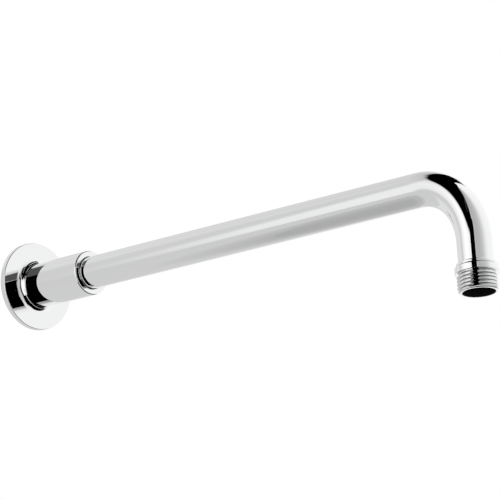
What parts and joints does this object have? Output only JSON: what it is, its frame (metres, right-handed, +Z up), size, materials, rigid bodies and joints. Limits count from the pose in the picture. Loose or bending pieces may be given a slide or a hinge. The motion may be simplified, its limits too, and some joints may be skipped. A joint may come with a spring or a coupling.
{
  "type": "shower arm",
  "caption": "Wall-mounted round shower arm: a bent chromed tube with a threaded outlet leg, a threaded wall end and a sliding flange-and-sleeve wall cover.",
  "frame": {"origin": "centre of the wall cover's back face, on the wall plane, on the tube's axis", "axes": "+X out of the wall along the straight tube, +Z up, the outlet leg points down"},
  "size_m": [0.3575, 0.05, 0.0849],
  "materials": {
    "plated_tube": "polished chrome plate on brass",
    "plated_ferrule": "polished chrome plate on turned brass",
    "bare_brass": "turned, unplated",
    "plated_cover": "polished chrome plate on turned brass",
    "ring_rubber": "matte black"
  },
  "bodies": {
    "arm": {"arm_tube": "plated_tube", "outlet_ferrule": "plated_ferrule", "inlet_ferrule": "bare_brass"},
    "cover": {"wall_cover": "plated_cover", "grip_ring": "ring_rubber"}
  },
  "joints": [
    {"name": "cover_slide", "type": "slide", "parent": "arm", "child": "cover", "axis": [1, 0, 0], "range_m": [0, 0.24]}
  ]
}
